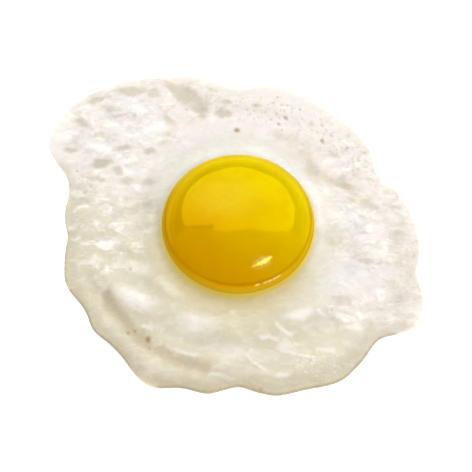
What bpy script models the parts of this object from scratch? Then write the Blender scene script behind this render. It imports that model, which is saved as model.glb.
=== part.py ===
"""A fried egg, sunny side up: a lobed egg white with a pocket, and the domed yolk that sits in it.

Metres, +Z up. The origin is on the flat underside, straight below the middle of the yolk.
+X runs towards the broad lobe on the right and +Y towards the far side of the egg.
"""

import math

import bmesh
import bpy
from mathutils import Vector, noise

MM = 0.001

# Driving dimensions of the yolk
YOLK_RADIUS = 22.0 * MM
YOLK_UNDERSIDE = 1.3 * MM
YOLK_WIDEST = 5.6 * MM
YOLK_CROWN = 16.6 * MM
CROWN_FULLNESS = 2.15
UNDERSIDE_FULLNESS = 2.7
YOLK_SEGMENTS = 60
YOLK_RINGS = 18

# Driving dimensions of the white
FIT_GAP = 0.4 * MM
LIP_HEIGHT = 8.8 * MM
SHOULDER_HEIGHT = 5.0 * MM
THIN_HEIGHT = 2.7 * MM
RIM_HEIGHT = 1.7 * MM
LIP_REACH = 3.6 * MM
RIM_REACH = 5.0 * MM

# The rim, anticlockwise: each lobe's tip, bay's foot and shoulder as (bearing in degrees, radius in mm)
RIM_POINTS = (
    (357, 52.5), (5, 51.0), (14, 48.5), (19, 46.5), (24, 44.5), (30, 46.0), (37, 47.5), (49, 47.5),
    (60, 48.0), (70, 48.5), (79, 48.5), (87, 47.0), (94, 47.5), (101, 51.0), (107, 53.5), (115, 56.0),
    (123, 59.5), (131, 62.0), (138, 64.0), (145, 64.0), (152, 63.0), (155, 61.5), (158, 57.5), (161, 53.0),
    (165, 51.0), (171, 51.0), (177, 50.5), (182, 49.5), (188, 50.5), (197, 52.0), (203, 51.5), (210, 50.0),
    (216, 51.5), (222, 50.5), (229, 50.5), (235, 52.5), (242, 54.0), (247, 52.5), (252, 50.5), (260, 50.5),
    (265, 49.0), (270, 47.5), (276, 49.5), (282, 51.5), (291, 52.0), (301, 54.0), (310, 53.5), (317, 52.0),
    (321, 52.5), (325, 56.0), (329, 58.5), (333, 59.0), (337, 57.5), (341, 55.5), (346, 52.5), (351, 53.0),
)
SAMPLES_A_SPAN = 12
RIM_RIPPLE = 0.35 * MM
RIM_RIPPLE_LENGTH = 4.0 * MM

# The rim's rounded section as (way in from the outline, height), its top ring first
RIM_SECTION = ((0.25 * MM, 1.45 * MM), (0.0, 0.75 * MM), (0.6 * MM, 0.0))

# How far out the thick white reaches, every 45 degrees from +X, and the width of its slope
THICK_REACH = [reach * MM for reach in (39.0, 29.0, 35.0, 33.0, 30.0, 36.0, 38.0, 40.0)]
THICK_SLOPE = 9.0 * MM

# Where the rim has curled up off the pan: (bearing in degrees, spread in degrees, lift in mm)
RIM_CURLS = ((150, 22, 1.6), (200, 16, 0.9), (240, 18, 1.1), (332, 20, 1.3), (20, 16, 0.7), (75, 14, 0.6))
CURL_REACH = 9.0 * MM

# Blisters, and hollows where the height is negative: (x, y, radius, height), all in mm
BLISTERS = (
    (-36.5, 40.0, 6.0, 1.1), (-43.5, 35.0, 5.0, 0.8), (-35.0, 29.5, 5.5, 1.0), (-43.0, 26.5, 6.0, 1.2),
    (-52.0, 28.0, 4.5, 0.9), (-25.5, 42.0, 5.5, 0.9), (-44.0, 15.5, 4.5, 0.8), (-36.5, 12.0, 4.5, 0.7),
    (-43.5, 3.5, 4.5, 0.7), (-31.5, -5.5, 5.5, 0.9), (26.5, 4.0, 7.0, 0.8), (38.5, -9.0, 5.0, 0.8),
    (46.0, -20.0, 6.0, 0.7), (33.0, -23.5, 5.0, 0.8), (17.0, -39.5, 6.0, 0.6), (28.0, 29.0, 6.0, 0.6),
    (-41.5, 20.5, 4.5, -1.0), (-15.5, 43.5, 7.5, -0.8), (-28.5, 8.0, 6.0, -0.7), (24.5, -32.5, 9.0, -0.8),
    (42.0, -27.5, 5.5, -0.6), (35.5, -2.0, 5.0, -0.6),
)

# Folds and valleys: (height, half width, then the points that the crest or the bed runs through), all in mm
FOLDS = (
    (1.3, 5.5, ((-40, -12.5), (-33, -20), (-26, -24), (-19, -28), (-11, -30.5), (-3, -31))),
    (-0.8, 5.0, ((-40.5, -20), (-35, -27.5), (-30, -32.5), (-25, -37), (-15, -42), (-7, -45))),
    (-0.9, 5.5, ((17, 22), (23, 18), (28, 14), (32.5, 10), (38, 6), (42.5, 1.5), (45, -3))),
    (0.8, 4.0, ((11, -24.5), (19, -26), (27, -23.5), (33, -20))),
    (0.7, 3.5, ((-49, 22), (-40, 23.5), (-31, 24), (-24, 27))),
    (0.6, 3.0, ((-44, -1.5), (-35, 1.5), (-26.5, 2.5))),
    (-0.7, 3.5, ((-27, 20), (-22.5, 28), (-17.5, 34.5), (-9, 38), (4, 38.5), (15, 34.5))),
)

# Lumps of the thin white
LUMP_HEIGHT = 0.45 * MM
LUMP_LENGTH = 5.5 * MM
LUMP_SEED_SHIFT = Vector((3.7, 1.9, 5.1))

# How finely the white is divided: spokes round it, and rings from the pocket over the top to the underside
SPOKES = 132
POCKET_RINGS = 9
LIP_SHARES = (0.02, 0.045, 0.08, 0.12)
LAST_TOP_SHARE = 0.96
TOP_RINGS = 20
UNDERSIDE_SHARES = (0.9, 0.75)

WHITE_COLOUR = (0.86, 0.82, 0.70, 1.0)
WHITE_ROUGHNESS = 0.3
WHITE_TRANSLUCENCE = 0.3
YOLK_COLOUR = (0.83, 0.45, 0.01, 1.0)
YOLK_ROUGHNESS = 0.15
YOLK_TRANSLUCENCE = 0.1
SHARPEST_SMOOTH_ANGLE = math.radians(60)


def smooth_step(share):
    """0 below 0, 1 above 1 and an even S between."""
    share = min(1.0, max(0.0, share))
    return share * share * (3.0 - 2.0 * share)


def swell(distance, reach):
    """1 in the middle, falling smoothly to 0 at the reach."""
    return 1.0 - smooth_step(distance / reach)


def polar(bearing, radius):
    return Vector((math.cos(bearing), math.sin(bearing))) * radius


def through_points(before, start, end, after, share):
    """The point a share of the way from start to end on a Catmull-Rom curve through all four."""
    pull_out = (end - before) / 2.0
    pull_in = (after - start) / 2.0
    cube, square = share**3, share**2
    return (
        start * (2 * cube - 3 * square + 1)
        + pull_out * (cube - 2 * square + share)
        + end * (3 * square - 2 * cube)
        + pull_in * (cube - square)
    )


def evenly_spaced(line, count):
    """Count points at equal steps along a closed line."""
    steps = [(end - start).length for start, end in zip(line, line[1:] + line[:1])]
    pace = sum(steps) / count
    points, walked, index = [], 0.0, 0
    for number in range(count):
        while walked + steps[index] < number * pace:
            walked += steps[index]
            index += 1
        share = (number * pace - walked) / steps[index]
        points.append(line[index].lerp(line[(index + 1) % len(line)], share))
    return points


def rim_outline():
    """One point of the rim for each spoke, on a smooth closed curve with a small ripple."""
    corners = [polar(math.radians(bearing), radius * MM) for bearing, radius in RIM_POINTS]
    count = len(corners)
    line = []
    for index in range(count):
        near = [corners[(index + step) % count] for step in (-1, 0, 1, 2)]
        line += [through_points(*near, sample / SAMPLES_A_SPAN) for sample in range(SAMPLES_A_SPAN)]
    outline = []
    for point in evenly_spaced(line, SPOKES):
        ripple = noise.noise(point.to_3d() / RIM_RIPPLE_LENGTH) * RIM_RIPPLE
        outline.append(point * (1.0 + ripple / point.length))
    return outline


def yolk_section(angle, gap=0.0):
    """(radius, height) of the yolk's surface at an angle above or below its widest ring, grown by a gap."""
    if angle > 0:
        depth, fullness = YOLK_CROWN - YOLK_WIDEST, CROWN_FULLNESS
    else:
        depth, fullness = YOLK_WIDEST - YOLK_UNDERSIDE, UNDERSIDE_FULLNESS
    across = max(0.0, math.cos(angle)) ** (2.0 / fullness)
    up = math.copysign(abs(math.sin(angle)) ** (2.0 / fullness), angle)
    return (YOLK_RADIUS + gap) * across, YOLK_WIDEST + (depth + gap) * up


def lip_angle():
    """The angle of the yolk's section at which the white's lip ends."""
    rise = (LIP_HEIGHT - YOLK_WIDEST) / (YOLK_CROWN - YOLK_WIDEST + FIT_GAP)
    return math.asin(rise ** (CROWN_FULLNESS / 2.0))


def thick_reach(bearing):
    """How far out the thick white goes at a bearing."""
    place = (bearing / math.tau) % 1.0 * len(THICK_REACH)
    index = int(place)
    ahead = THICK_REACH[(index + 1) % len(THICK_REACH)]
    return THICK_REACH[index] + (ahead - THICK_REACH[index]) * smooth_step(place - index)


def distance_to_line(point, line):
    """The shortest way from a point to a line of straight runs."""
    shortest = math.inf
    for start, end in zip(line, line[1:]):
        run = end - start
        share = min(1.0, max(0.0, (point - start).dot(run) / run.length_squared))
        shortest = min(shortest, (point - start - run * share).length)
    return shortest


def relief(point):
    """Blisters, hollows and folds of the white's top at a point."""
    height = 0.0
    for x, y, radius, rise in BLISTERS:
        height += rise * MM * swell((point - Vector((x, y)) * MM).length, radius * MM)
    for rise, half_width, bends in FOLDS:
        line = [Vector(bend) * MM for bend in bends]
        height += rise * MM * swell(distance_to_line(point, line), half_width * MM)
    return height


def curl(point, from_rim):
    """How far the white is lifted off the pan there."""
    lift = 0.0
    bearing = math.degrees(math.atan2(point.y, point.x))
    for middle, spread, height in RIM_CURLS:
        aside = abs((bearing - middle + 180.0) % 360.0 - 180.0)
        lift += height * MM * swell(aside, spread)
    return lift * swell(from_rim, CURL_REACH) ** 2


def top_height(point, from_lip, from_rim):
    """The height of the white's top at a point that far from the lip and from the rim."""
    reach = thick_reach(math.atan2(point.y, point.x))
    thick = 1.0 - smooth_step((point.length - reach + THICK_SLOPE) / THICK_SLOPE)
    height = THIN_HEIGHT + (SHOULDER_HEIGHT - THIN_HEIGHT) * thick
    height = RIM_HEIGHT + (height - RIM_HEIGHT) * smooth_step(from_rim / RIM_REACH)
    rough = smooth_step(from_rim / RIM_REACH) * smooth_step((from_lip - LIP_REACH / 2) / LIP_REACH)
    lump = noise.noise(point.to_3d() / LUMP_LENGTH + LUMP_SEED_SHIFT) * LUMP_HEIGHT
    height += (relief(point) + lump * (1.0 - thick)) * rough
    meniscus = max(0.0, 1.0 - from_lip / LIP_REACH) ** 2
    height += (LIP_HEIGHT - SHOULDER_HEIGHT) * meniscus
    return height + curl(point, from_rim)


def white_rings():
    """(zone, place in the zone) of each ring of the white, from the pocket's middle to the underside's."""
    rings = [("pocket", number / POCKET_RINGS) for number in range(POCKET_RINGS + 1)]
    rings += [("top", share) for share in LIP_SHARES]
    pace = (LAST_TOP_SHARE - LIP_SHARES[-1]) / TOP_RINGS
    rings += [("top", LIP_SHARES[-1] + pace * number) for number in range(1, TOP_RINGS + 1)]
    rings += [("rim", step) for step in RIM_SECTION]
    rings += [("underside", share) for share in UNDERSIDE_SHARES]
    return rings + [("underside", 0.0)]


def white_point(zone, place, bearing, rim_point):
    """Where a vertex of the turned blank goes."""
    if zone == "pocket":
        angle = -math.pi / 2 + place * (lip_angle() + math.pi / 2)
        radius, height = yolk_section(angle, FIT_GAP)
        return polar(bearing, radius).to_3d() + Vector((0, 0, height))
    if zone == "underside":
        point = rim_point * place
        return Vector((*point, curl(point, (1.0 - place) * rim_point.length)))
    lip_point = polar(bearing, yolk_section(lip_angle(), FIT_GAP)[0])
    spoke = rim_point - lip_point
    if zone == "rim":
        inward, height = place
        point = rim_point - spoke.normalized() * inward
        return Vector((*point, height + curl(rim_point, 0.0)))
    point = lip_point + spoke * place
    from_lip = spoke.length * place
    return Vector((*point, top_height(point, from_lip, spoke.length - from_lip)))


def new_object(name, mesh, collection, colour, roughness, translucence):
    """Links a finished mesh under a name, shaded smooth, with a material of its own."""
    material = bpy.data.materials.new(name)
    material.use_nodes = True
    shader = material.node_tree.nodes["Principled BSDF"]
    shader.inputs["Base Color"].default_value = colour
    shader.inputs["Roughness"].default_value = roughness
    shader.inputs["Metallic"].default_value = 0.0
    shader.inputs["Subsurface Weight"].default_value = translucence
    mesh.materials.append(material)
    mesh.shade_smooth()
    mesh.set_sharp_from_angle(angle=SHARPEST_SMOOTH_ANGLE)
    collection.objects.link(bpy.data.objects.new(name, mesh))


def make_white(collection):
    """Turns a section into a closed blank, then puts each ring and spoke where the egg has it."""
    rings = white_rings()
    outline = rim_outline()
    blank = bmesh.new()
    ring_of = blank.verts.layers.int.new("ring")
    section = []
    for number in range(len(rings)):
        turn = math.pi * number / (len(rings) - 1)
        vertex = blank.verts.new((math.sin(turn), 0.0, math.cos(turn)))
        vertex[ring_of] = number
        section.append(vertex)
    profile = section + [blank.edges.new(pair) for pair in zip(section, section[1:])]
    axis, middle = (0, 0, 1), (0, 0, 0)
    bmesh.ops.spin(blank, geom=profile, cent=middle, axis=axis, angle=math.tau, steps=SPOKES, use_merge=True)
    bmesh.ops.remove_doubles(blank, verts=blank.verts[:], dist=1e-5)
    bmesh.ops.recalc_face_normals(blank, faces=blank.faces[:])
    for vertex in blank.verts:
        zone, place = rings[vertex[ring_of]]
        bearing = math.atan2(vertex.co.y, vertex.co.x)
        spoke = round(bearing / math.tau * SPOKES) % SPOKES
        vertex.co = white_point(zone, place, bearing, outline[spoke])
    mesh = bpy.data.meshes.new("egg_white")
    blank.to_mesh(mesh)
    blank.free()
    new_object("egg_white", mesh, collection, WHITE_COLOUR, WHITE_ROUGHNESS, WHITE_TRANSLUCENCE)


def make_yolk(collection):
    """Shapes a ball into the yolk: a high crown over a flatter underside."""
    ball = bmesh.new()
    bmesh.ops.create_uvsphere(ball, u_segments=YOLK_SEGMENTS, v_segments=YOLK_RINGS, radius=1.0)
    for vertex in ball.verts:
        angle = math.asin(max(-1.0, min(1.0, vertex.co.z)))
        bearing = math.atan2(vertex.co.y, vertex.co.x)
        radius, height = yolk_section(angle)
        vertex.co = polar(bearing, radius).to_3d() + Vector((0, 0, height))
    mesh = bpy.data.meshes.new("yolk")
    ball.to_mesh(mesh)
    ball.free()
    new_object("yolk", mesh, collection, YOLK_COLOUR, YOLK_ROUGHNESS, YOLK_TRANSLUCENCE)


def main():
    for old in list(bpy.data.objects):
        bpy.data.objects.remove(old)
    collection = bpy.data.collections.new("fried_egg")
    bpy.context.scene.collection.children.link(collection)
    make_white(collection)
    make_yolk(collection)


main()
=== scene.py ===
"""Looks of a fried egg, sunny side up: the set white, the glossy yolk, and the studio round them.

Metres, +Z up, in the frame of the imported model. +X is to the right and +Y away from the camera.
"""

import math

import bmesh
import bpy
import numpy as np
from bpy.props import FloatProperty, FloatVectorProperty, PointerProperty
from bpy.types import Operator, Panel, PropertyGroup
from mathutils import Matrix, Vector, noise
from mathutils.bvhtree import BVHTree
from mathutils.kdtree import KDTree


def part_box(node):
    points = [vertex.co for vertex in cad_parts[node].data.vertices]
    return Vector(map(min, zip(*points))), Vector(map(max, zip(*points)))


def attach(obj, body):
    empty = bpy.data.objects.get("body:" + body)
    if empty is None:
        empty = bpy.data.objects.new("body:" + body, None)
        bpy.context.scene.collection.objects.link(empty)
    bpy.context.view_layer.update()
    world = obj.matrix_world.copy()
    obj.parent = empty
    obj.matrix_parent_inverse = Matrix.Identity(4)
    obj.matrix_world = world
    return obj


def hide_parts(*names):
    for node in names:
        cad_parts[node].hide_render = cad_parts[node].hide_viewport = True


bl_info = {
    "name": "Fried egg",
    "version": (1, 0, 0),
    "blender": (4, 5, 0),
    "location": "3D View > Sidebar > Fried egg",
    "description": "Dresses a fried egg: its white, its yolk and a studio for it",
    "category": "Object",
}

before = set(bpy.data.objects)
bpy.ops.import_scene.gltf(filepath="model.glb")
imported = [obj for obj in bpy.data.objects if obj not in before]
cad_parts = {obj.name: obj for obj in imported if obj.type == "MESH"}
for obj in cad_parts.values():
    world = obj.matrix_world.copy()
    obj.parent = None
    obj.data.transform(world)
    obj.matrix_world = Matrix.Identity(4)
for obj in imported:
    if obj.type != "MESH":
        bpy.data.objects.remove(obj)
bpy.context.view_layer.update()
YOLK_LOW, YOLK_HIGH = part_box("yolk")
YOLK_RADIUS = (YOLK_HIGH.x - YOLK_LOW.x) / 2
MM = 0.001
WELD_DISTANCE = 1e-6
LEAST_WEIGHT = 0.004
PURE_WHITE = (1.0, 1.0, 1.0, 1.0)
YOLK_PIECE = "runny_yolk"

# How wide one band of Blender's wave texture is at a scale of 1
WAVE_WIDTH = 0.314

# The photograph, in pixels: its side, the yolk's width, and where a point inside the yolk shows
PHOTO_SIDE = 472
YOLK_WIDTH_PIXELS = 153
AIM_PIXEL = (238.0, 225.5)

# The real width of a pixel, that point's height above the floor, and the camera's sensor in millimetres
PIXEL = 2 * YOLK_RADIUS / YOLK_WIDTH_PIXELS
AIM_HEIGHT = 5.5 * MM
SENSOR_WIDTH = 36.0

# Hollows where the white is thin: (x, y, half length, half width, turn in degrees, depth), in mm
WINDOWS = (
    (-14.6, 43.6, 7.8, 4.2, -38, 0.9), (-11.6, 40.4, 4.4, 3.6, -40, 0.8), (-19.4, 46.4, 4.4, 2.2, -30, 0.6),
    (-31.9, 45.2, 6.2, 2.3, 6, 0.7), (-24.9, 44.0, 3.0, 2.2, -25, 0.4), (-41.7, 42.2, 3.8, 1.6, 15, 0.5),
    (-46.0, 34.4, 3.4, 1.7, -45, 0.5), (-37.6, 38.8, 2.2, 1.6, 20, 0.3), (-39.8, 21.4, 4.4, 2.2, 12, 0.45),
    (-49.2, 25.4, 3.0, 1.4, -5, 0.4), (-33.6, 26.0, 4.4, 1.4, 10, 0.5), (-26.4, 25.4, 2.6, 1.4, 15, 0.4),
    (-32.5, 15.4, 3.0, 1.9, 0, 0.35), (-26.4, 15.0, 2.6, 2.1, 0, 0.4), (-41.4, 16.0, 4.2, 1.7, 0, 0.4),
    (-28.8, 6.9, 7.2, 2.4, 12, 0.3), (-23.2, 4.6, 1.6, 1.0, 20, 0.2), (-44.4, 9.0, 4.0, 1.6, 5, 0.4),
    (-35.0, 18.6, 1.5, 2.4, 30, 0.4), (-41.0, 30.4, 3.0, 1.2, 20, 0.3), (-20.6, 36.0, 3.2, 1.4, -30, 0.3),
    (-4.3, 37.9, 3.0, 2.1, 0, 0.5), (-10.8, 37.2, 2.2, 1.3, -20, 0.4), (-7.2, 45.4, 2.4, 1.0, -20, 0.3),
    (-3.8, 41.6, 2.6, 1.0, 0, 0.4), (5.6, 40.4, 2.0, 0.8, -10, 0.3), (14.3, 36.3, 1.3, 0.6, -40, 0.3),
    (21.5, 33.8, 2.0, 1.0, -15, 0.3), (28.6, 23.6, 2.2, 1.1, -10, 0.3), (21.6, 19.4, 4.4, 2.6, -50, 0.15),
    (31.0, 14.2, 4.2, 1.4, -16, 0.3), (33.2, 9.4, 2.4, 1.0, -35, 0.3), (39.4, 7.2, 2.8, 1.2, -25, 0.25),
    (46.6, -1.2, 3.0, 1.7, -20, 0.15), (31.2, -1.0, 1.2, 0.8, 20, 0.3), (37.0, -1.2, 2.2, 0.7, 0, 0.3),
    (40.2, -4.2, 1.4, 0.9, 30, 0.3), (36.8, -10.2, 3.8, 1.0, -4, 0.3), (46.0, 7.0, 2.6, 0.9, -5, 0.3),
)

# Valleys painted beige, partly as the thinner white's tone and partly as painted shade in the hollows, and
# tinted strips of no depth: (half width, depth, how beige, points along it), in mm
VALLEYS = (
    (2.4, 0.3, 1.0, ((-37.2, -20.8), (-35.0, -24.4), (-32.0, -28.4), (-29.2, -32.4), (-25.4, -35.6))),
    (2.6, 0.4, 0.9, ((-21.6, -37.6), (-16.4, -40.4), (-9.6, -42.2))),
    (2.6, 0.3, 0.5, ((12.0, 30.4), (19.6, 27.4), (22.4, 19.0), (30.0, 14.4), (37.4, 8.6))),
    (2.8, 0.3, 0.5, ((24.2, -3.2), (30.0, -5.6), (34.0, -7.4))),
    (1.4, 0.12, 0.2, ((-18.0, 31.6), (-21.2, 22.4))),
    (5.0, 0.0, 0.4, ((46.0, -2.0), (48.0, -12.0), (46.0, -22.0))),
    (5.0, 0.0, 0.2, ((-47.0, 28.0), (-38.0, 36.0))),
    (3.4, 0.0, 0.55, ((-34.0, -38.0), (-26.0, -45.6), (-10.0, -48.6), (4.0, -48.6))),
)

# Thick rolls, raised and painted pale, partly as painted highlight: (x, y, half length, half width, turn,
# height), in mm
ROLLS = (
    (-29.4, -21.9, 7.6, 3.0, -26, 0.6), (-12.4, -30.2, 7.4, 3.6, -4, 0.3), (17.0, -27.4, 4.8, 1.5, 8, 0.5),
    (-28.4, -12.4, 4.8, 2.2, -20, 0.3), (-19.6, -19.2, 4.2, 1.6, -45, 0.3), (31.6, 12.0, 3.6, 1.0, -30, 0.3),
    (25.6, 12.0, 3.8, 1.5, -48, 0.5), (27.0, 2.4, 4.4, 2.6, -20, 0.4), (36.4, 0.6, 3.0, 0.9, 10, 0.3),
    (30.0, -27.4, 4.2, 1.2, -20, 0.4), (32.8, -30.6, 3.6, 1.0, 0, 0.3), (40.6, -20.4, 1.2, 2.0, 10, 0.4),
    (-36.0, -4.4, 3.2, 1.5, 20, 0.4), (-43.0, -10.4, 3.6, 1.0, 10, 0.4), (-41.0, 26.0, 4.6, 1.6, -8, 0.5),
    (-33.0, 21.4, 5.4, 0.8, 18, 0.5), (-26.0, 33.0, 3.4, 1.8, 30, 0.4), (-38.0, 33.6, 4.2, 1.3, -20, 0.4),
    (-30.0, 38.0, 3.4, 1.4, 10, 0.4), (-44.6, 15.2, 3.0, 0.8, -20, 0.3), (13.0, -36.0, 2.6, 1.6, 20, 0.3),
    (12.4, -44.6, 2.2, 0.9, 5, 0.3), (-1.0, -37.4, 7.0, 2.6, -10, 0.05),
)

# Thin ridges, raised and painted pale as painted highlights: (half width, height, points along it), in mm
RIDGES = (
    (0.55, 0.40, ((10.4, -29.6), (12.0, -31.2), (14.7, -32.8))),
    (0.4, 0.2, ((14.9, -33.4), (16.4, -35.6))),
    (0.55, 0.40, ((2.3, -38.7), (4.0, -40.7), (7.5, -43.1))),
    (0.7, 0.35, ((-7.8, -44.1), (-4.9, -44.4), (-1.7, -45.7))),
    (0.5, 0.20, ((10.9, -36.8), (14.0, -37.6), (17.5, -39.0))),
    (0.5, 0.28, ((17.0, -38.9), (21.0, -39.4))),
    (0.8, 0.25, ((22.4, -36.8), (26.7, -37.6))),
    (0.6, 0.25, ((6.6, -33.8), (8.6, -33.4), (11.2, -34.2))),
    (0.5, 0.25, ((-27.0, -29.9), (-24.4, -30.9))),
    (0.7, 0.30, ((-19.8, -36.2), (-16.1, -37.8), (-12.0, -38.6))),
    (0.6, 0.25, ((29.0, -17.4), (32.0, -18.4))),
    (0.7, 0.25, ((26.4, -24.4), (30.4, -24.8), (34.4, -26.8))),
    (0.5, 0.25, ((22.6, -26.0), (24.2, -27.2))),
    (0.5, 0.25, ((-46.6, 20.0), (-42.0, 23.4), (-36.0, 24.6))),
    (0.5, 0.25, ((-36.0, 22.4), (-30.4, 27.0))),
    (0.6, 0.30, ((-1.9, -26.6), (-1.2, -26.9))),
    (0.6, 0.25, ((-38.0, -12.6), (-33.0, -11.8), (-28.6, -13.2))),
    (0.4, 0.10, ((-16.8, 33.2), (-20.2, 25.0))),
)

# Broad places that are raised or lowered: (x, y, radius, height), in mm
LEVELS = (
    (24.5, -32.5, 11.0, 0.55), (28.0, -22.6, 6.0, -0.55), (34.0, -22.4, 6.0, -0.5), (-9.0, -37.0, 8.0, 0.3),
)

# Burst bubbles: (x, y, radius, depth), in mm
PITS = (
    (-0.3, 31.8, 1.25, 1.0), (14.2, 36.6, 0.8, 0.3), (12.0, 34.4, 0.7, 0.6), (13.1, 32.3, 0.5, 0.4),
    (9.8, 35.9, 0.5, 0.4), (18.4, 39.0, 0.5, 0.5), (10.4, 41.0, 0.5, 0.4), (11.8, 43.1, 0.6, 0.4),
    (24.9, 28.4, 0.8, 0.6), (27.6, 30.0, 0.6, 0.5), (28.2, 31.2, 0.45, 0.4), (32.5, 30.1, 0.5, 0.5),
    (32.1, 26.1, 0.55, 0.5), (37.1, 24.6, 0.45, 0.4), (24.9, 33.7, 0.5, 0.5), (39.5, 19.4, 0.5, 0.4),
    (46.3, 10.3, 0.5, 0.4), (50.6, -8.0, 0.6, 0.4), (-25.4, -33.8, 1.2, 1.0), (-31.1, -31.8, 0.75, 0.7),
    (-29.2, -31.2, 0.65, 0.6), (-25.0, -36.4, 0.5, 0.5), (-30.8, -12.5, 0.5, 0.4), (-47.2, 18.6, 0.5, 0.5),
    (-44.5, 11.7, 0.5, 0.4), (-43.9, 16.1, 0.4, 0.3), (-15.4, 39.2, 0.5, 0.4), (6.3, -48.6, 0.9, 0.5),
)

# Whole bubbles with a raised ring: (x, y, radius), in mm
RINGS = (
    (22.0, 38.8, 1.2), (-30.1, -6.0, 1.2), (-30.8, -12.4, 0.9), (42.6, -11.0, 1.2), (38.6, -12.5, 0.9),
    (-14.0, 46.4, 0.8), (17.2, 40.8, 0.8), (35.0, 20.4, 0.8), (-48.2, 12.2, 0.8),
)

# Where each kind of surface lies: (x, y, half length, half width, turn), in mm
AREAS = {
    "rough": (
        (-35.0, 33.0, 20.0, 17.0, 20), (-38.0, 4.0, 14.0, 22.0, 0), (-14.0, 42.0, 12.0, 8.0, -10),
        (40.0, 0.0, 15.0, 17.0, 0), (46.0, -22.0, 9.0, 13.0, 0), (32.0, -25.0, 9.0, 7.0, 0),
        (34.0, 22.0, 15.0, 9.0, -40),
    ),
    "froth": (
        (6.0, 38.6, 15.0, 5.6, -8), (24.0, 31.0, 12.0, 6.0, -40), (-4.0, 41.0, 7.0, 5.0, 0),
        (36.0, 22.0, 8.0, 6.0, -45), (-44.0, 15.0, 6.0, 6.0, 0),
    ),
    # The sparkle area gets painted glints
    "sparkle": ((28.0, -43.6, 11.0, 3.6, 26), (22.0, -41.0, 8.0, 4.0, 10)),
    "fan": ((-42.0, -14.0, 4.5, 4.5, 0), (-30.0, 11.0, 6.0, 3.4, 10), (-33.0, 2.6, 7.0, 4.0, 20)),
    "edge_lines": ((48.0, -17.0, 7.0, 10.0, 0), (46.0, -3.0, 6.0, 8.0, -20)),
    "cross_lines": ((40.0, 5.4, 4.4, 4.6, 0), (-31.5, 35.0, 5.0, 4.0, 0)),
}

# Places on the yolk painted as highlight, the pale mottled sheen and the glint: (x, y, half length, half
# width, turn), in mm
YOLK_PAINTED_SHEEN = (-4.0, 4.0, 15.0, 10.0, 0)
YOLK_PAINTED_GLINT = (6.9, -14.7, 4.0, 1.9, 24)

# The lowest height of those places, and where the painted highlight streak starts, is broken and ends along
# X, in mm
PAINT_FROM = 10.0
STREAK_START, STREAK_BREAK, STREAK_END = 4.4, 6.6, 12.8

# Towards the yolk's lit side, seen from above; the yolk's colour is painted lighter that way and darker the
# other way, as painted light and shade
LIT_SIDE = (0.5, 0.87, 0.0)

# Level panels, in shares of the panel height:
# (name, near left corner, far right corner, side with rounded corners, share of the glow, height)
PANELS = (
    ("panel_right", (-0.33, 0.14), (1.54, 2.8), 1.0, 1.0, 1.0),
    ("panel_left", (-1.62, 0.245), (-0.33, 2.8), -1.0, 1.0, 1.0),
    ("panel_frame", (-3.2, 0.2), (3.2, 7.0), 0.0, 0.0, 1.01),
)

# How far a panel's near and far corners are rounded, in shares of the panel height
NEAR_ROUNDING = 0.9
FAR_ROUNDING = 0.72

# Where the world's glow starts and stops changing, along Y
ROOM_NEAR, ROOM_FAR = -0.4, 0.5

# Sizes and distances in the studio, in metres, and the direction of the soft light
FLOOR_RADIUS = 4.0
SPARK_DISTANCE = 0.8
FILL_DIRECTION = (0.25, -0.78, 0.57)
FILL_DISTANCE = 1.2
FILL_SIZE = 0.9

# Small lights by the camera's shoulder: (direction, its two sizes in metres, share of the power)
SPARKS = (
    ((0.44, -0.43, 0.785), (0.22, 0.10), 0.7), ((0.40, -0.47, 0.785), (0.36, 0.07), 0.4),
    ((0.29, -0.53, 0.79), (0.04, 0.04), 0.03),
)


class StudioSettings(PropertyGroup):
    """Camera, lights and floor."""

    elevation: FloatProperty(
        name="Camera elevation", description="Angle above the horizon", default=math.radians(66),
        subtype="ANGLE",
    )
    lens: FloatProperty(name="Lens", description="Focal length in millimetres", default=150.0)
    panel_height: FloatProperty(
        name="Panel height", description="Height of the large light above the floor", default=0.6,
        unit="LENGTH",
    )
    panel_glow: FloatProperty(
        name="Panel glow", description="Brightness of the large light's face", default=2.0
    )
    spark_power: FloatProperty(
        name="Spark power", description="Power of the small lights by the camera's shoulder", default=0.45
    )
    fill_power: FloatProperty(
        name="Fill power", default=8.6,
        description="Power of the soft light at the near side, which reflections leave out",
    )
    room_front: FloatProperty(
        name="Room front", description="Brightness of the room behind the camera", default=0.3
    )
    room_back: FloatProperty(name="Room back", description="Brightness of the room's far side", default=0.8)
    floor_glow: FloatProperty(
        name="Floor glow", description="Light that the floor gives by itself", default=0.45
    )
    floor_colour: FloatVectorProperty(
        name="Floor colour", description="Pale floor", subtype="COLOR", size=4,
        default=(0.93, 0.93, 0.93, 1.0),
    )


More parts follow.
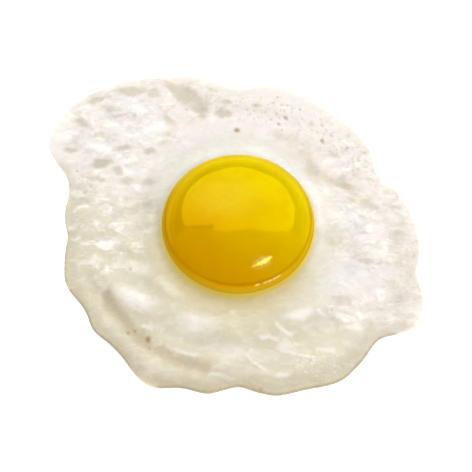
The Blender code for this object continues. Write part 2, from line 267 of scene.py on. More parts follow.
class WhiteSettings(PropertyGroup):
    """The set white."""

    film_height: FloatProperty(
        name="Film height", description="How high the white climbs on the yolk", default=8.5 * MM,
        unit="LENGTH",
    )
    # Partly painted light: cream is the thick jelly at the near side and milk the froth at the far side, and
    # the white is also painted paler towards its lit far side
    cream: FloatVectorProperty(
        name="Cream", description="Thick white at the near side", subtype="COLOR", size=4,
        default=(0.630, 0.596, 0.466, 1.0),
    )
    milk: FloatVectorProperty(
        name="Milk", description="Blistered white at the far side", subtype="COLOR", size=4,
        default=(0.72, 0.69, 0.665, 1.0),
    )
    # Partly painted highlight: the palest colour for thick rolls, ridges, puffs and glints stands partly for
    # thick white and partly for the large light's reflection
    roll: FloatVectorProperty(
        name="Roll", description="Palest, thickest white", subtype="COLOR", size=4,
        default=(0.81, 0.79, 0.765, 1.0),
    )
    window: FloatVectorProperty(
        name="Window", description="White where it is thin", subtype="COLOR", size=4,
        default=(0.54, 0.50, 0.40, 1.0),
    )
    # Partly painted shade: beige for the hollows, also partly the thinner white's tone
    valley_shade: FloatVectorProperty(
        name="Valley", description="Beige valleys", subtype="COLOR", size=4, default=(0.52, 0.455, 0.32, 1.0)
    )
    skin: FloatVectorProperty(
        name="Skin", description="Yolk under the film's thinnest edge", subtype="COLOR", size=4,
        default=(0.84, 0.58, 0.04, 1.0),
    )
    film: FloatVectorProperty(
        name="Film", description="Yolk through a film of white", subtype="COLOR", size=4,
        default=(0.80, 0.55, 0.03, 1.0),
    )
    # Painted light: yolk-coloured bounce light on the white beside the yolk, stronger at the near side
    painted_yolk_glow: FloatVectorProperty(
        name="Bleed", description="Yolk's glow on the white beside it", subtype="COLOR", size=4,
        default=(0.74, 0.61, 0.29, 1.0),
    )
    shade: FloatVectorProperty(
        name="Shade", description="Deeper tone beside the yolk's near side", subtype="COLOR", size=4,
        default=(0.36, 0.29, 0.07, 1.0),
    )
    # Partly a dried edge, partly painted shade: a thin painted contact shadow at the very edge and a broader
    # darkening on the near-left side, away from the light
    crust_and_shade: FloatVectorProperty(
        name="Rim", description="Dried edge of the rim", subtype="COLOR", size=4,
        default=(0.34, 0.30, 0.22, 1.0),
    )
    pit: FloatVectorProperty(
        name="Burst bubble", description="Brown floor of a burst bubble", subtype="COLOR", size=4,
        default=(0.33, 0.24, 0.08, 1.0),
    )


class YolkSettings(PropertyGroup):
    """The yolk."""

    # Painted light and shade: the first colour is the yolk painted as lit at its far side, the second as
    # shaded at its near side
    lit_crown: FloatVectorProperty(
        name="Crown", description="Yolk at its far, lit side", subtype="COLOR", size=4,
        default=(0.66, 0.492, 0.0, 1.0),
    )
    shaded_flank: FloatVectorProperty(
        name="Flank", description="Yolk at its near side", subtype="COLOR", size=4,
        default=(0.60, 0.298, 0.0, 1.0),
    )
    brink: FloatVectorProperty(
        name="Brink", description="Yolk beside the edge of the film", subtype="COLOR", size=4,
        default=(0.61, 0.36, 0.01, 1.0),
    )
    # Painted highlight: pale mottling where the large light's reflection falls on the crown
    painted_sheen: FloatVectorProperty(
        name="Haze", description="Faint mottled haze on the crown", subtype="COLOR", size=4,
        default=(0.69, 0.55, 0.055, 1.0),
    )
    cloud: FloatVectorProperty(
        name="Cloud", description="Broad deeper patches", subtype="COLOR", size=4,
        default=(0.52, 0.25, 0.0, 1.0),
    )
    # Painted shade: the line's darker colour stands for the shade in the crease where the film ends; a small
    # real step and bump go with it
    line: FloatVectorProperty(
        name="Line", description="Fine line where the film ends", subtype="COLOR", size=4,
        default=(0.40, 0.17, 0.0, 1.0),
    )
    # Painted highlight: a pale streak below the line, where the small lights are reflected; a small real bump
    # goes with it
    highlight_streak: FloatVectorProperty(
        name="Streak", description="Pale streak beside the line", subtype="COLOR", size=4,
        default=(0.92, 0.74, 0.20, 1.0),
    )
    # Painted highlight: a pale patch round the small lights' bright reflection
    painted_glint: FloatVectorProperty(
        name="Glint", description="Pale haze round the bright spot", subtype="COLOR", size=4,
        default=(0.90, 0.75, 0.28, 1.0),
    )
    gloss: FloatProperty(name="Roughness", description="Roughness of the yolk's skin", default=0.035)
    line_height: FloatProperty(
        name="Line height", description="Height of the fine line where the film on the yolk ends",
        default=9.2 * MM, unit="LENGTH",
    )
    line_slope: FloatProperty(
        name="Line slope", description="How fast the line climbs towards the near side", default=0.035
    )


def deselect_all():
    for item in bpy.context.selected_objects:
        item.select_set(False)


def make_active(item):
    deselect_all()
    item.select_set(True)
    bpy.context.view_layer.objects.active = item


def copy_of_node(node, name):
    """A welded copy of a CAD node's mesh, as quads, selected and active."""
    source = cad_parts[node]
    piece = bpy.data.objects.new(name, source.data.copy())
    bpy.context.scene.collection.objects.link(piece)
    piece.data.materials.clear()
    make_active(piece)
    bpy.ops.object.mode_set(mode="EDIT")
    bpy.ops.mesh.select_all(action="SELECT")
    bpy.ops.mesh.remove_doubles(threshold=WELD_DISTANCE)
    bpy.ops.mesh.tris_convert_to_quads(face_threshold=math.radians(60), shape_threshold=math.radians(60))
    bpy.ops.object.mode_set(mode="OBJECT")
    return piece


def apply_modifier(piece, kind, **settings):
    """Adds a modifier, sets it and applies it."""
    modifier = piece.modifiers.new(kind.title(), kind)
    for key, value in settings.items():
        setattr(modifier, key, value)
    make_active(piece)
    bpy.ops.object.modifier_apply(modifier=modifier.name)


def places(piece):
    """The vertices' places in millimetres, one row each."""
    flat = np.empty(len(piece.data.vertices) * 3, np.float32)
    piece.data.vertices.foreach_get("co", flat)
    return flat.reshape(-1, 3).astype(float) / MM


def store(piece, name, values):
    """Keeps a number for each vertex, which a material can read by name."""
    layer = piece.data.attributes.new(name, "FLOAT", "POINT")
    layer.data.foreach_set("value", np.asarray(values, np.float32))


def group(piece, name, weights):
    """Keeps a weight for each vertex, which a modifier can read by name."""
    made = piece.vertex_groups.new(name=name)
    for index in np.flatnonzero(weights > LEAST_WEIGHT):
        made.add([int(index)], float(weights[index]), "REPLACE")
    return made.name


def displace(piece, name, weights, height, **settings):
    """Moves the surface outwards by a height in millimetres where the weights say so."""
    apply_modifier(
        piece, "DISPLACE", vertex_group=group(piece, name, weights), strength=height * MM, mid_level=0.0,
        **settings,
    )


def texture(name, kind, size, **settings):
    """A procedural texture for a displacement, with its grain size in millimetres."""
    made = bpy.data.textures.new(name, kind)
    made.noise_scale = size * MM
    for key, value in settings.items():
        setattr(made, key, value)
    return made


def smooth(share):
    """0 below 0, 1 above 1, and a smooth step between them."""
    share = np.clip(share, 0.0, 1.0)
    return share * share * (3.0 - 2.0 * share)


def swell(distance, reach):
    """1 in the middle, falling smoothly to 0 at the reach."""
    return 1.0 - smooth(distance / reach)


def wobble(place, size, seed):
    """Smooth chance numbers from -1 to 1 with a grain of a size in millimetres."""
    return np.array([noise.noise(Vector(row) / size + Vector((seed, seed, seed))) for row in place])


def oval(place, x, y, half_length, half_width, turn):
    """How far each place is from an oval's middle, as a share of the way to its outline."""
    turn = math.radians(turn)
    across, along = place[:, 0] - x, place[:, 1] - y
    first = (across * math.cos(turn) + along * math.sin(turn)) / half_length
    second = (along * math.cos(turn) - across * math.sin(turn)) / half_width
    return np.hypot(first, second)


def path(place, points):
    """How far each place is from a line through the points, seen from above."""
    nearest = np.full(len(place), np.inf)
    for start, end in zip(points, points[1:]):
        run = np.subtract(end, start)
        away = place[:, :2] - start
        share = np.clip(away @ run / (run @ run), 0.0, 1.0)
        nearest = np.minimum(nearest, np.hypot(*(away - share[:, None] * run).T))
    return nearest


class Shader:
    """A material's nodes, added and joined in a line of calls."""

    def __init__(self, name):
        self.material = bpy.data.materials.new(name)
        self.material.use_nodes = True
        self.tree = self.material.node_tree
        self.surface = self.tree.nodes["Principled BSDF"]
        self.place = self.add("ShaderNodeTexCoord").outputs["Object"]

    def add(self, kind, **settings):
        node = self.tree.nodes.new(kind)
        for key, value in settings.items():
            setattr(node, key, value)
        return node

    def feed(self, socket, value):
        if isinstance(value, bpy.types.NodeSocket):
            self.tree.links.new(value, socket)
        else:
            socket.default_value = value

    def join(self, node, **sockets):
        for name, value in sockets.items():
            self.feed(node.inputs[name.replace("_", " ")], value)
        return node

    def stretched(self, scale, turn=0.0):
        """The place, stretched along the axes and turned by degrees."""
        node = self.add("ShaderNodeMapping")
        self.join(node, Vector=self.place, Rotation=(0.0, 0.0, math.radians(-turn)), Scale=scale)
        return node.outputs[0]

    def noise(self, size, detail=2.0, roughness=0.5, distortion=0.0, stretch=(1.0, 1.0, 1.0)):
        """Noise with a grain of a size in millimetres."""
        node = self.add("ShaderNodeTexNoise")
        self.join(
            node, Vector=self.stretched(stretch), Scale=1.0 / (size * MM), Detail=detail, Roughness=roughness,
            Distortion=distortion,
        )
        return node.outputs["Fac"]

    def cells(self, size):
        """Round cells of a size in millimetres, 0 in the middle of each."""
        node = self.add("ShaderNodeTexVoronoi", feature="F1")
        self.join(node, Vector=self.place, Scale=1.0 / (size * MM))
        return node.outputs["Distance"]

    def stripes(self, size, turn, distortion):
        """Wavering stripes of a width in millimetres, across a direction in degrees."""
        place = self.stretched((1.0, 1.0, 1.0), turn)
        node = self.add("ShaderNodeTexWave", wave_type="BANDS", bands_direction="X")
        self.join(
            node, Vector=place, Scale=WAVE_WIDTH / (size * MM), Distortion=distortion, Detail=1.5,
            Detail_Scale=1.0,
        )
        return node.outputs["Fac"]

    def number(self, name):
        return self.add("ShaderNodeAttribute", attribute_name=name).outputs["Fac"]

    def span(self, value, low, high, to_low=0.0, to_high=1.0):
        node = self.add("ShaderNodeMapRange", interpolation_type="SMOOTHSTEP")
        for socket, given in zip(node.inputs, (value, low, high, to_low, to_high)):
            self.feed(socket, given)
        return node.outputs["Result"]

    def math(self, operation, first, second):
        node = self.add("ShaderNodeMath", operation=operation)
        self.feed(node.inputs[0], first)
        self.feed(node.inputs[1], second)
        return node.outputs[0]

    def times(self, first, second):
        return self.math("MULTIPLY", first, second)

    def plus(self, first, second):
        return self.math("ADD", first, second)

    def blend(self, share, first, second):
        node = self.add("ShaderNodeMix", data_type="RGBA")
        self.feed(node.inputs["Factor"], share)
        self.feed(node.inputs[6], first)
        self.feed(node.inputs[7], second)
        return node.outputs[2]

    def bump(self, height, depth, below=None):
        """A bump of a depth in millimetres, on top of the one below."""
        node = self.add("ShaderNodeBump")
        self.join(node, Distance=depth * MM, Height=height)
        if below is not None:
            self.feed(node.inputs["Normal"], below)
        return node.outputs["Normal"]

    def set(self, **sockets):
        self.join(self.surface, **sockets)


def yolk_material(settings):
    shader = Shader("yolk_skin")
    lit = shader.add("ShaderNodeVectorMath", operation="DOT_PRODUCT")
    shader.feed(lit.inputs[0], shader.place)
    shader.feed(lit.inputs[1], LIT_SIDE)
    # Painted light and shade: the yolk's colour runs from shaded at the near side to lit at the far side
    share = shader.span(lit.outputs["Value"], -20 * MM, 16 * MM)
    colour = shader.blend(share, tuple(settings.shaded_flank), tuple(settings.lit_crown))
    # Painted highlight: pale speckles mottling the place of the large light's reflection
    speckle = shader.span(shader.noise(1.0, detail=3.0, roughness=0.6), 0.3, 0.75, 0.1, 0.34)
    colour = shader.blend(shader.times(speckle, shader.number("painted_sheen")), colour, tuple(settings.painted_sheen))
    cloud = shader.span(shader.noise(6.0, detail=2.0), 0.4, 0.7, 0.0, 0.2)
    colour = shader.blend(cloud, colour, tuple(settings.cloud))
    colour = shader.blend(shader.number("brink"), colour, tuple(settings.brink))
    # Painted shade in the crease where the film ends, darkening the line
    line = shader.number("line")
    colour = shader.blend(shader.times(line, 0.5), colour, tuple(settings.line))
    shader.set(Roughness=settings.gloss, IOR=1.36, Specular_IOR_Level=0.02, Metallic=0.15)
    shader.set(Subsurface_Weight=0.3, Subsurface_Scale=1.0, Subsurface_Radius=(0.003, 0.0015, 0.0002))
    shader.set(Specular_Tint=(0.9, 1.0, 0.0, 1.0))
    # Painted highlight: the pale streak, broken by noise, with a small real bump
    uneven = shader.span(shader.noise(1.2, detail=2.0), 0.3, 0.6, 0.4, 1.0)
    highlight_streak = shader.times(shader.number("highlight_streak"), uneven)
    colour = shader.blend(shader.times(highlight_streak, 0.9), colour, tuple(settings.highlight_streak))
    # Painted highlight: a patchy pale halo round the small lights' reflection
    patchy = shader.span(shader.noise(1.3, detail=2.0), 0.4, 0.6, 0.1, 0.55)
    painted_glint = shader.times(shader.number("painted_glint"), patchy)
    shader.set(Base_Color=shader.blend(painted_glint, colour, tuple(settings.painted_glint)))
    skin = shader.bump(shader.noise(1.8, detail=3.0), 0.012)
    skin = shader.bump(line, 0.05, skin)
    skin = shader.bump(highlight_streak, 0.10, skin)
    shader.set(Normal=shader.bump(shader.noise(9.0, detail=1.0), 0.25, skin))
    return shader.material


def white_material(settings):
    shader = Shader("set_white")
    patches = shader.noise(3.6, detail=4.0, roughness=0.6, distortion=0.6, stretch=(0.8, 1.25, 1.0))
    fine = shader.noise(1.0, detail=2.0, roughness=0.6)
    crinkle = shader.noise(2.6, detail=2.0, roughness=0.55, distortion=0.8, stretch=(0.7, 1.2, 1.0))
    bubbles = shader.cells(1.6)
    rough, froth, film = shader.number("rough"), shader.number("froth"), shader.number("film")

    # Partly painted light: cream to milk towards the lit far side
    colour = shader.blend(shader.number("far"), tuple(settings.cream), tuple(settings.milk))
    # Puffs and rolls painted pale, partly as thick white and partly as painted highlight
    lumpy = shader.plus(shader.times(rough, 0.7), 0.3)
    thick = shader.plus(shader.number("roll"), shader.times(lumpy, shader.span(patches, 0.5, 0.68)))
    colour = shader.blend(shader.math("MINIMUM", thick, 1.0), colour, tuple(settings.roll))
    # Valleys painted beige, partly as painted shade in the hollows
    valley_shade = shader.plus(shader.number("valley_shade"), shader.span(fine, 0.2, 0.8, -0.15, 0.15))
    colour = shader.blend(shader.span(valley_shade, 0.05, 1.1), colour, tuple(settings.valley_shade))
    open_cells = shader.times(froth, shader.span(bubbles, 0.38, 0.12, 0.0, 0.6))
    gaps = shader.times(rough, shader.span(patches, 0.46, 0.32, 0.0, 0.6))
    veils = shader.times(rough, shader.span(crinkle, 0.46, 0.34, 0.0, 0.3))
    ragged = shader.plus(shader.number("window"), shader.span(crinkle, 0.25, 0.75, 0.3, -0.3))
    ragged = shader.times(shader.number("window"), shader.span(ragged, 0.1, 0.8, 0.3, 0.85))
    thin = shader.math("MAXIMUM", shader.math("MAXIMUM", open_cells, veils), gaps)
    clear = shader.math("MAXIMUM", ragged, thin)
    colour = shader.blend(clear, colour, tuple(settings.window))
    # Painted glints: pale grains in the sparkle area, with small real bumps
    grains = shader.span(shader.noise(0.85, detail=3.0), 0.5, 0.72, 0.0, 0.8)
    painted_sparkles = shader.times(shader.number("sparkle"), grains)
    colour = shader.blend(painted_sparkles, colour, tuple(settings.roll))
    colour = shader.blend(shader.number("pit"), colour, tuple(settings.pit))
    # Rim darkened, partly as a dried edge and partly as painted shade
    colour = shader.blend(shader.number("rim"), colour, tuple(settings.crust_and_shade))
    # Painted light: the yolk's yellow bounce light on the white beside it
    colour = shader.blend(shader.number("painted_yolk_glow"), colour, tuple(settings.painted_yolk_glow))
    colour = shader.blend(film, colour, tuple(settings.film))
    colour = shader.blend(shader.number("skin"), colour, tuple(settings.skin))
    colour = shader.blend(shader.number("shade"), colour, tuple(settings.shade))
    shader.set(Base_Color=colour, IOR=1.42)
    dull = shader.span(patches, 0.35, 0.65, 0.16, 0.38)
    shader.set(Roughness=shader.times(dull, shader.span(film, 0.0, 0.6, 1.0, 0.35)))
    shader.set(Subsurface_Weight=shader.span(film, 0.0, 0.6, 0.8, 0.0))
    shader.set(Subsurface_Scale=1.0, Subsurface_Radius=(0.0036, 0.0030, 0.0020))

    normal = shader.bump(shader.times(crinkle, shader.plus(shader.times(rough, 0.8), 0.2)), 0.26)
    normal = shader.bump(shader.times(bubbles, froth), 0.22, normal)
    broken = shader.span(patches, 0.4, 0.6)
    fan = shader.times(shader.stripes(0.75, 75, 6.0), shader.times(broken, shader.number("fan")))
    normal = shader.bump(fan, 0.05, normal)
    lines = shader.times(shader.stripes(0.9, 82, 7.0), shader.times(broken, shader.number("edge_lines")))
    normal = shader.bump(lines, 0.06, normal)
    crossing = shader.times(shader.stripes(0.9, -45, 5.0), shader.number("cross_lines"))
    normal = shader.bump(crossing, 0.09, normal)
    normal = shader.bump(painted_sparkles, 0.08, normal)
    shader.set(Normal=shader.bump(fine, 0.05, normal))
    return shader.material


class EGG_OT_yolk(Operator):
    """Dresses the yolk."""

    bl_idname = "egg.yolk"
    bl_label = "Yolk"

    def execute(self, context):
        piece = copy_of_node("yolk", YOLK_PIECE)
        settings = context.scene.egg_yolk
        apply_modifier(piece, "SUBSURF", levels=3, render_levels=3)
        bpy.ops.object.shade_smooth()
        place = places(piece)
        above = place[:, 2] + settings.line_slope * place[:, 1] - settings.line_height / MM
        displace(piece, "under_line", smooth(-above / 1.2), 0.06)
        piece.vertex_groups.clear()
        # The material darkens this line as painted shade in the film's crease
        store(piece, "line", swell(np.abs(above), 0.8))
        # Painted highlights on the bare top: the mottled sheen and the glint round the small lights'
        # reflection
        bare = place[:, 2] > PAINT_FROM
        store(piece, "painted_sheen", swell(oval(place, *YOLK_PAINTED_SHEEN), 1.0) * bare)
        store(piece, "brink", smooth((-0.8 - above) / 1.0))
        store(piece, "painted_glint", swell(oval(place, *YOLK_PAINTED_GLINT), 1.0) * bare)
        # Painted highlight: a pale streak just below the line on the near side
        across = place[:, 0]
        along = smooth((across - STREAK_START) / 0.8) * smooth((STREAK_END - across) / 1.6)
        along = along * smooth(np.abs(across - STREAK_BREAK)) * (place[:, 1] < 0.0)
        store(piece, "highlight_streak", swell(np.abs(above + 0.55), 0.45) * along)
        piece.data.materials.append(yolk_material(settings))
        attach(piece, "root")
        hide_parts("yolk")
        return {"FINISHED"}


class EGG_OT_white(Operator):
    """Dresses the set white."""

    bl_idname = "egg.white"
    bl_label = "White"

    @classmethod
    def poll(cls, context):
        """The film of white is laid on the dressed yolk, which has to be there first."""
        return YOLK_PIECE in bpy.data.objects

    def execute(self, context):
        settings = context.scene.egg_white
        piece = copy_of_node("egg_white", "set_white")
        self.draw_film(piece, settings.film_height)
        apply_modifier(piece, "SUBSURF", levels=2, render_levels=2)
        bpy.ops.object.shade_smooth()
        self.measure(piece)
        self.sculpt(piece)
        self.mark(piece)
        piece.vertex_groups.clear()
        piece.data.materials.append(white_material(settings))
        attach(piece, "root")
        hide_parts("egg_white")
        return {"FINISHED"}

    def reach_from_yolk(self, piece):
        """How far each vertex is from the dressed yolk, in millimetres."""
        yolk = bpy.data.objects[YOLK_PIECE].data
        tree = BVHTree.FromPolygons([v.co for v in yolk.vertices], [p.vertices for p in yolk.polygons])
        return np.array([tree.find_nearest(v.co)[3] for v in piece.data.vertices]) / MM

    def draw_film(self, piece, height):
        """Draws the lip up on the yolk as a film, and lays it and the pocket on the yolk."""
        place, reach = places(piece), self.reach_from_yolk(piece)
        lip = (place[:, 2] > place[:, 2].max() - 0.3) & (reach < 1.0)
        make_active(piece)
        bpy.ops.object.mode_set(mode="EDIT")
        bpy.ops.mesh.select_all(action="DESELECT")
        bpy.ops.mesh.select_mode(type="VERT")
        mesh = bmesh.from_edit_mesh(piece.data)
        mesh.verts.ensure_lookup_table()
        for index in np.flatnonzero(lip):
            mesh.verts[index].select_set(True)
        mesh.select_flush(True)
        bmesh.update_edit_mesh(piece.data)
        bpy.ops.transform.edge_crease(value=1.0)
        bpy.ops.transform.translate(
            value=(0.0, 0.0, height - place[lip, 2].mean() * MM), use_proportional_edit=True,
            use_proportional_connected=True, proportional_size=2.4 * MM,
        )
        bpy.ops.object.mode_set(mode="OBJECT")

        outwards = np.array([v.normal.x * v.co.x + v.normal.y * v.co.y for v in piece.data.vertices]) > 0
        hold = np.where(outwards, swell(reach - 0.5, 2.6), 0.75 * (reach < 0.7))
        hold[lip] = 1.0
        apply_modifier(
            piece, "SHRINKWRAP", target=bpy.data.objects[YOLK_PIECE], vertex_group=group(piece, "hold", hold),
            wrap_method="NEAREST_SURFACEPOINT", wrap_mode="ABOVE_SURFACE", offset=-0.1 * MM,
        )

    def measure(self, piece):
        """Works out, for each vertex, where it lies: on the open top, by the yolk or by the rim."""
        self.place = places(piece)
        self.reach = self.reach_from_yolk(piece)
        up = np.array([v.normal.z for v in piece.data.vertices])
        side = (np.abs(up) < 0.4) & (self.place[:, 2] < 1.6) & (self.reach > 6.0)
        tree = KDTree(int(side.sum()))
        for number, (x, y, z) in enumerate(self.place[side]):
            tree.insert((x, y, 0.0), number)
        tree.balance()
        self.from_rim = np.array([tree.find((x, y, 0.0))[2] for x, y, z in self.place])
        self.top = smooth((up - 0.1) / 0.4) * smooth((self.reach - 1.2) / 2.5) * smooth(self.from_rim / 1.6)
        self.fine = wobble(self.place, 1.3, 3.7)
        self.broad = wobble(self.place, 3.1, 11.3)
        self.fields = {name: self.area(name) for name in AREAS}

    def area(self, name):
        """How much each vertex lies in one of the areas."""
        share = [oval(self.place, *area) + 0.25 * self.broad for area in AREAS[name]]
        return 1.0 - smooth((np.min(share, axis=0) - 0.6) / 0.5)

    def hollows(self):
        """How clear the white is at each vertex, and how deep it lies there."""
        clear, deep = np.zeros(len(self.place)), np.zeros(len(self.place))
        for x, y, half_length, half_width, turn, depth in WINDOWS:
            far = oval(self.place, x, y, half_length, half_width, turn) + 0.3 * self.fine + 0.2 * self.broad
            clear = np.maximum(clear, (1.0 - smooth((far - 0.35) / 0.9)) * min(1.0, 0.5 + depth))
            deep = np.maximum(deep, depth * swell(far, 1.3))
        return clear, deep

    def sculpt(self, piece):
        """Lumps, hollows, rolls, ridges and bubbles of the top."""
        place, top = self.place, self.top
        self.clear, deep = self.hollows()
        # Valleys: real hollows, painted beige partly as thinner white and partly as painted shade
        self.valley_shade = np.zeros(len(place))
        for half_width, depth, beige, points in VALLEYS:
            share = swell(path(place, points) * (1.0 + 0.3 * self.broad) + 0.8 * self.broad, half_width * 1.5)
            self.valley_shade = np.maximum(self.valley_shade, beige * share)
            deep = np.maximum(deep, depth * share)
        self.pit = np.zeros(len(place))
        for x, y, radius, depth in PITS:
            far = np.hypot(place[:, 0] - x, place[:, 1] - y)
            self.pit = np.maximum(self.pit, swell(far, radius * 1.2) * min(1.0, depth + 0.2))
            deep = np.maximum(deep, depth * swell(far, radius * 1.4))
        # Rolls and ridges are painted pale, partly as the thick white's tone and partly as painted highlight
        self.roll = np.zeros(len(place))
        tall = np.zeros(len(place))
        for x, y, half_length, half_width, turn, height in ROLLS:
            far = oval(place, x, y, half_length, half_width, turn) + 0.2 * self.fine + 0.2 * self.broad
            pale = 0.75 * min(1.0, 0.4 + 1.2 * height)
            self.roll = np.maximum(self.roll, pale * (1.0 - smooth((far - 0.3) / 1.0)))
            tall = np.maximum(tall, height * swell(far, 1.5))
        for half_width, height, points in RIDGES:
            far = path(place, points) + 0.45 * self.fine + 0.4 * self.broad
            self.roll = np.maximum(self.roll, 0.6 * swell(far, half_width * 1.4))
            tall = np.maximum(tall, 0.6 * height * swell(far, half_width * 1.8))
        for x, y, radius in RINGS:
            far = np.abs(np.hypot(place[:, 0] - x, place[:, 1] - y) - radius)
            tall = np.maximum(tall, 0.35 * swell(far, 0.6))
        displace(piece, "rolls", top * tall, 0.6, direction="Z")
        for number, (x, y, radius, height) in enumerate(LEVELS):
            share = swell(np.hypot(place[:, 0] - x, place[:, 1] - y), radius)
            displace(piece, f"level_{number}", top * share, height, direction="Z")
        displace(piece, "hollows", top * deep, -0.16, direction="Z")
        rough, froth = self.fields["rough"], self.fields["froth"]
        lumps = texture("lumps", "CLOUDS", 3.2, noise_depth=1)
        bubbles = texture("bubbles", "VORONOI", 1.6)
        displace(piece, "lumps", top * (0.25 + 0.75 * rough), 0.45, texture=lumps, texture_coords="LOCAL")
        displace(piece, "bubbles", top * froth, 0.25, texture=bubbles, texture_coords="LOCAL")

    def mark(self, piece):
        """Keeps on the vertices what the material reads."""
        place, reach = self.place, self.reach
        around = np.maximum(np.hypot(place[:, 0], place[:, 1]), 1e-6)
        near = smooth(0.2 - (0.8 * place[:, 1] + 0.15 * place[:, 0]) / around)
        # Painted light: the white beside the yolk's lit far side is painted paler
        lit_collar = smooth((0.8 * place[:, 1] + 0.5 * place[:, 0]) / around + 0.3) * swell(reach - 2.0, 5.0)
        store(piece, "shade", near * (0.28 * swell(reach, 2.6) + 0.18 * swell(reach, 9.0)))
        beside = smooth((-0.2 * place[:, 0] - 1.1 * place[:, 1]) / 50.0 + 0.2)
        store(piece, "window", self.clear * (self.top > 0.05))
        store(piece, "valley_shade", self.valley_shade)
        store(piece, "pit", self.pit)
        store(piece, "roll", np.maximum(self.roll, 0.8 * lit_collar))
        store(piece, "film", 1.0 - smooth((reach - 0.1) / (0.35 + 0.85 * near)))
        store(piece, "skin", 1.0 - smooth(reach / 0.4))
        # Painted light: yolk-coloured bounce light, fading away from the yolk and stronger at the near side
        store(piece, "painted_yolk_glow", np.exp(-np.maximum(reach - 0.6, 0.0) / (0.9 + 2.6 * near)) * (0.3 + 0.7 * near))
        # Painted shade at the rim: a thin contact shadow and a broad darkening towards the near-left side
        edge = 0.34 * swell(self.from_rim, 8.0) + 0.7 * swell(self.from_rim, 0.9)
        store(piece, "rim", edge * (0.25 + 0.75 * beside))
        # Partly painted light: the blend to milk grows towards the lit far side and away from the yolk
        lit = smooth((0.9 * place[:, 1] + 0.45 * place[:, 0] + 24.0) / 27.0)
        store(piece, "far", lit * (0.45 + 0.55 * smooth((reach - 3.0) / 9.0)))
        for name, field in self.fields.items():
            store(piece, name, field * smooth((reach - 1.5) / 2.0))


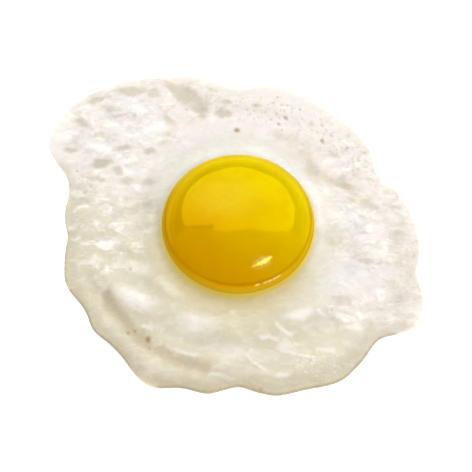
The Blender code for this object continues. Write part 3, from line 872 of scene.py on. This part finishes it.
class EGG_OT_studio(Operator):
    """Sets up the floor, the lights and the camera."""

    bl_idname = "egg.studio"
    bl_label = "Studio"

    def execute(self, context):
        studio = context.scene.egg_studio
        self.floor(studio)
        self.lights(studio)
        self.room(context.scene, studio)
        self.camera(context.scene, studio)
        context.scene.view_settings.view_transform = "Standard"
        return {"FINISHED"}

    def floor(self, studio):
        deselect_all()
        bpy.ops.mesh.primitive_circle_add(vertices=96, radius=FLOOR_RADIUS, fill_type="NGON")
        floor = bpy.context.object
        floor.name = "pale_floor"
        shader = Shader("pale_floor")
        shader.set(Base_Color=tuple(studio.floor_colour), Roughness=0.9)
        shader.set(Emission_Color=PURE_WHITE, Emission_Strength=studio.floor_glow)
        floor.data.materials.append(shader.material)

    def panel(self, name, low, high, cut, glow, height):
        """A level panel over a rectangle, with both corners at the cut's side rounded."""
        width, depth = high[0] - low[0], high[1] - low[1]
        middle = ((low[0] + high[0]) / 2, (low[1] + high[1]) / 2, height)
        deselect_all()
        bpy.ops.mesh.primitive_plane_add(size=1.0, location=middle, rotation=(math.pi, 0.0, 0.0))
        panel = bpy.context.object
        panel.name = name
        panel.scale = (width, depth, 1.0)
        bpy.ops.object.transform_apply(location=True, rotation=True, scale=True)
        bpy.ops.object.mode_set(mode="EDIT")
        bpy.ops.mesh.select_all(action="DESELECT")
        bpy.ops.mesh.select_mode(type="VERT")
        side = middle[0] + cut * width / 2
        for end, size in ((low[1], NEAR_ROUNDING), (high[1], FAR_ROUNDING)):
            mesh = bmesh.from_edit_mesh(panel.data)
            for corner in mesh.verts:
                corner.select_set(cut != 0.0 and abs(corner.co.x - side) + abs(corner.co.y - end) < MM)
            bmesh.update_edit_mesh(panel.data)
            bpy.ops.mesh.bevel(offset=size * height, segments=4, affect="VERTICES")
        bpy.ops.object.mode_set(mode="OBJECT")
        shader = Shader(name)
        shader.set(Base_Color=(0.0, 0.0, 0.0, 1.0), Roughness=1.0, Specular_IOR_Level=0.0)
        shader.set(Emission_Color=PURE_WHITE, Emission_Strength=glow)
        panel.data.materials.append(shader.material)
        return panel

    def lights(self, studio):
        height = studio.panel_height
        for name, low, high, cut, share, level in PANELS:
            corners = [(x * height, y * height) for x, y in (low, high)]
            panel = self.panel(name, *corners, cut, studio.panel_glow * share, height * level)
            panel.visible_diffuse = share > 0.0
        for towards, size, share in SPARKS:
            towards = Vector(towards)
            bpy.ops.object.light_add(type="AREA", location=towards * SPARK_DISTANCE)
            spark = bpy.context.object
            spark.name = "spark"
            spark.rotation_euler = towards.to_track_quat("Z", "Y").to_euler()
            spark.data.shape = "ELLIPSE"
            spark.data.size, spark.data.size_y = size
            spark.data.energy = studio.spark_power * share
        towards = Vector(FILL_DIRECTION)
        bpy.ops.object.light_add(type="AREA", location=towards * FILL_DISTANCE)
        fill = bpy.context.object
        fill.name = "fill"
        fill.rotation_euler = towards.to_track_quat("Z", "Y").to_euler()
        fill.data.size = FILL_SIZE
        fill.data.energy = studio.fill_power
        fill.visible_glossy = False

    def room(self, scene, studio):
        scene.world = scene.world or bpy.data.worlds.new("room")
        scene.world.use_nodes = True
        nodes, links = scene.world.node_tree.nodes, scene.world.node_tree.links
        place = nodes.new("ShaderNodeTexCoord")
        parts = nodes.new("ShaderNodeSeparateXYZ")
        links.new(place.outputs["Generated"], parts.inputs[0])
        glow = nodes.new("ShaderNodeMapRange")
        glow.inputs["From Min"].default_value = ROOM_NEAR
        glow.inputs["From Max"].default_value = ROOM_FAR
        glow.inputs["To Min"].default_value = studio.room_front
        glow.inputs["To Max"].default_value = studio.room_back
        links.new(parts.outputs["Y"], glow.inputs["Value"])
        background = nodes["Background"]
        background.inputs["Color"].default_value = PURE_WHITE
        links.new(glow.outputs["Result"], background.inputs["Strength"])

    def camera(self, scene, studio):
        """Puts the photograph's point inside the yolk on its pixel."""
        up = Vector((0.0, math.sin(studio.elevation), math.cos(studio.elevation)))
        back = Vector((0.0, -math.cos(studio.elevation), math.sin(studio.elevation)))
        aside = (AIM_PIXEL[0] - PHOTO_SIDE / 2) * PIXEL
        above = (PHOTO_SIDE / 2 - AIM_PIXEL[1]) * PIXEL
        middle = Vector((-aside, 0.0, AIM_HEIGHT)) - up * above
        distance = PHOTO_SIDE * PIXEL * studio.lens / SENSOR_WIDTH
        bpy.ops.object.camera_add(
            location=middle + back * distance, rotation=(math.pi / 2 - studio.elevation, 0.0, 0.0)
        )
        camera = bpy.context.object
        camera.data.lens = studio.lens
        camera.data.sensor_width = SENSOR_WIDTH
        scene.camera = camera


class EGG_PT_panel(Panel):
    """Lists the pieces."""

    bl_idname = "EGG_PT_panel"
    bl_label = "Fried egg"
    bl_space_type = "VIEW_3D"
    bl_region_type = "UI"
    bl_category = "Fried egg"

    def draw(self, context):
        for kind in OPERATORS:
            self.layout.operator(kind.bl_idname)


SETTINGS = {"egg_studio": StudioSettings, "egg_white": WhiteSettings, "egg_yolk": YolkSettings}
OPERATORS = (EGG_OT_studio, EGG_OT_yolk, EGG_OT_white)
CLASSES = (*SETTINGS.values(), *OPERATORS, EGG_PT_panel)


def register():
    for kind in CLASSES:
        bpy.utils.register_class(kind)
    for name, kind in SETTINGS.items():
        setattr(bpy.types.Scene, name, PointerProperty(type=kind))


def unregister():
    for name in SETTINGS:
        delattr(bpy.types.Scene, name)
    for kind in reversed(CLASSES):
        bpy.utils.unregister_class(kind)


def main():
    register()
    bpy.ops.egg.studio()
    bpy.ops.egg.yolk()
    bpy.ops.egg.white()


if __name__ == "__main__":
    main()
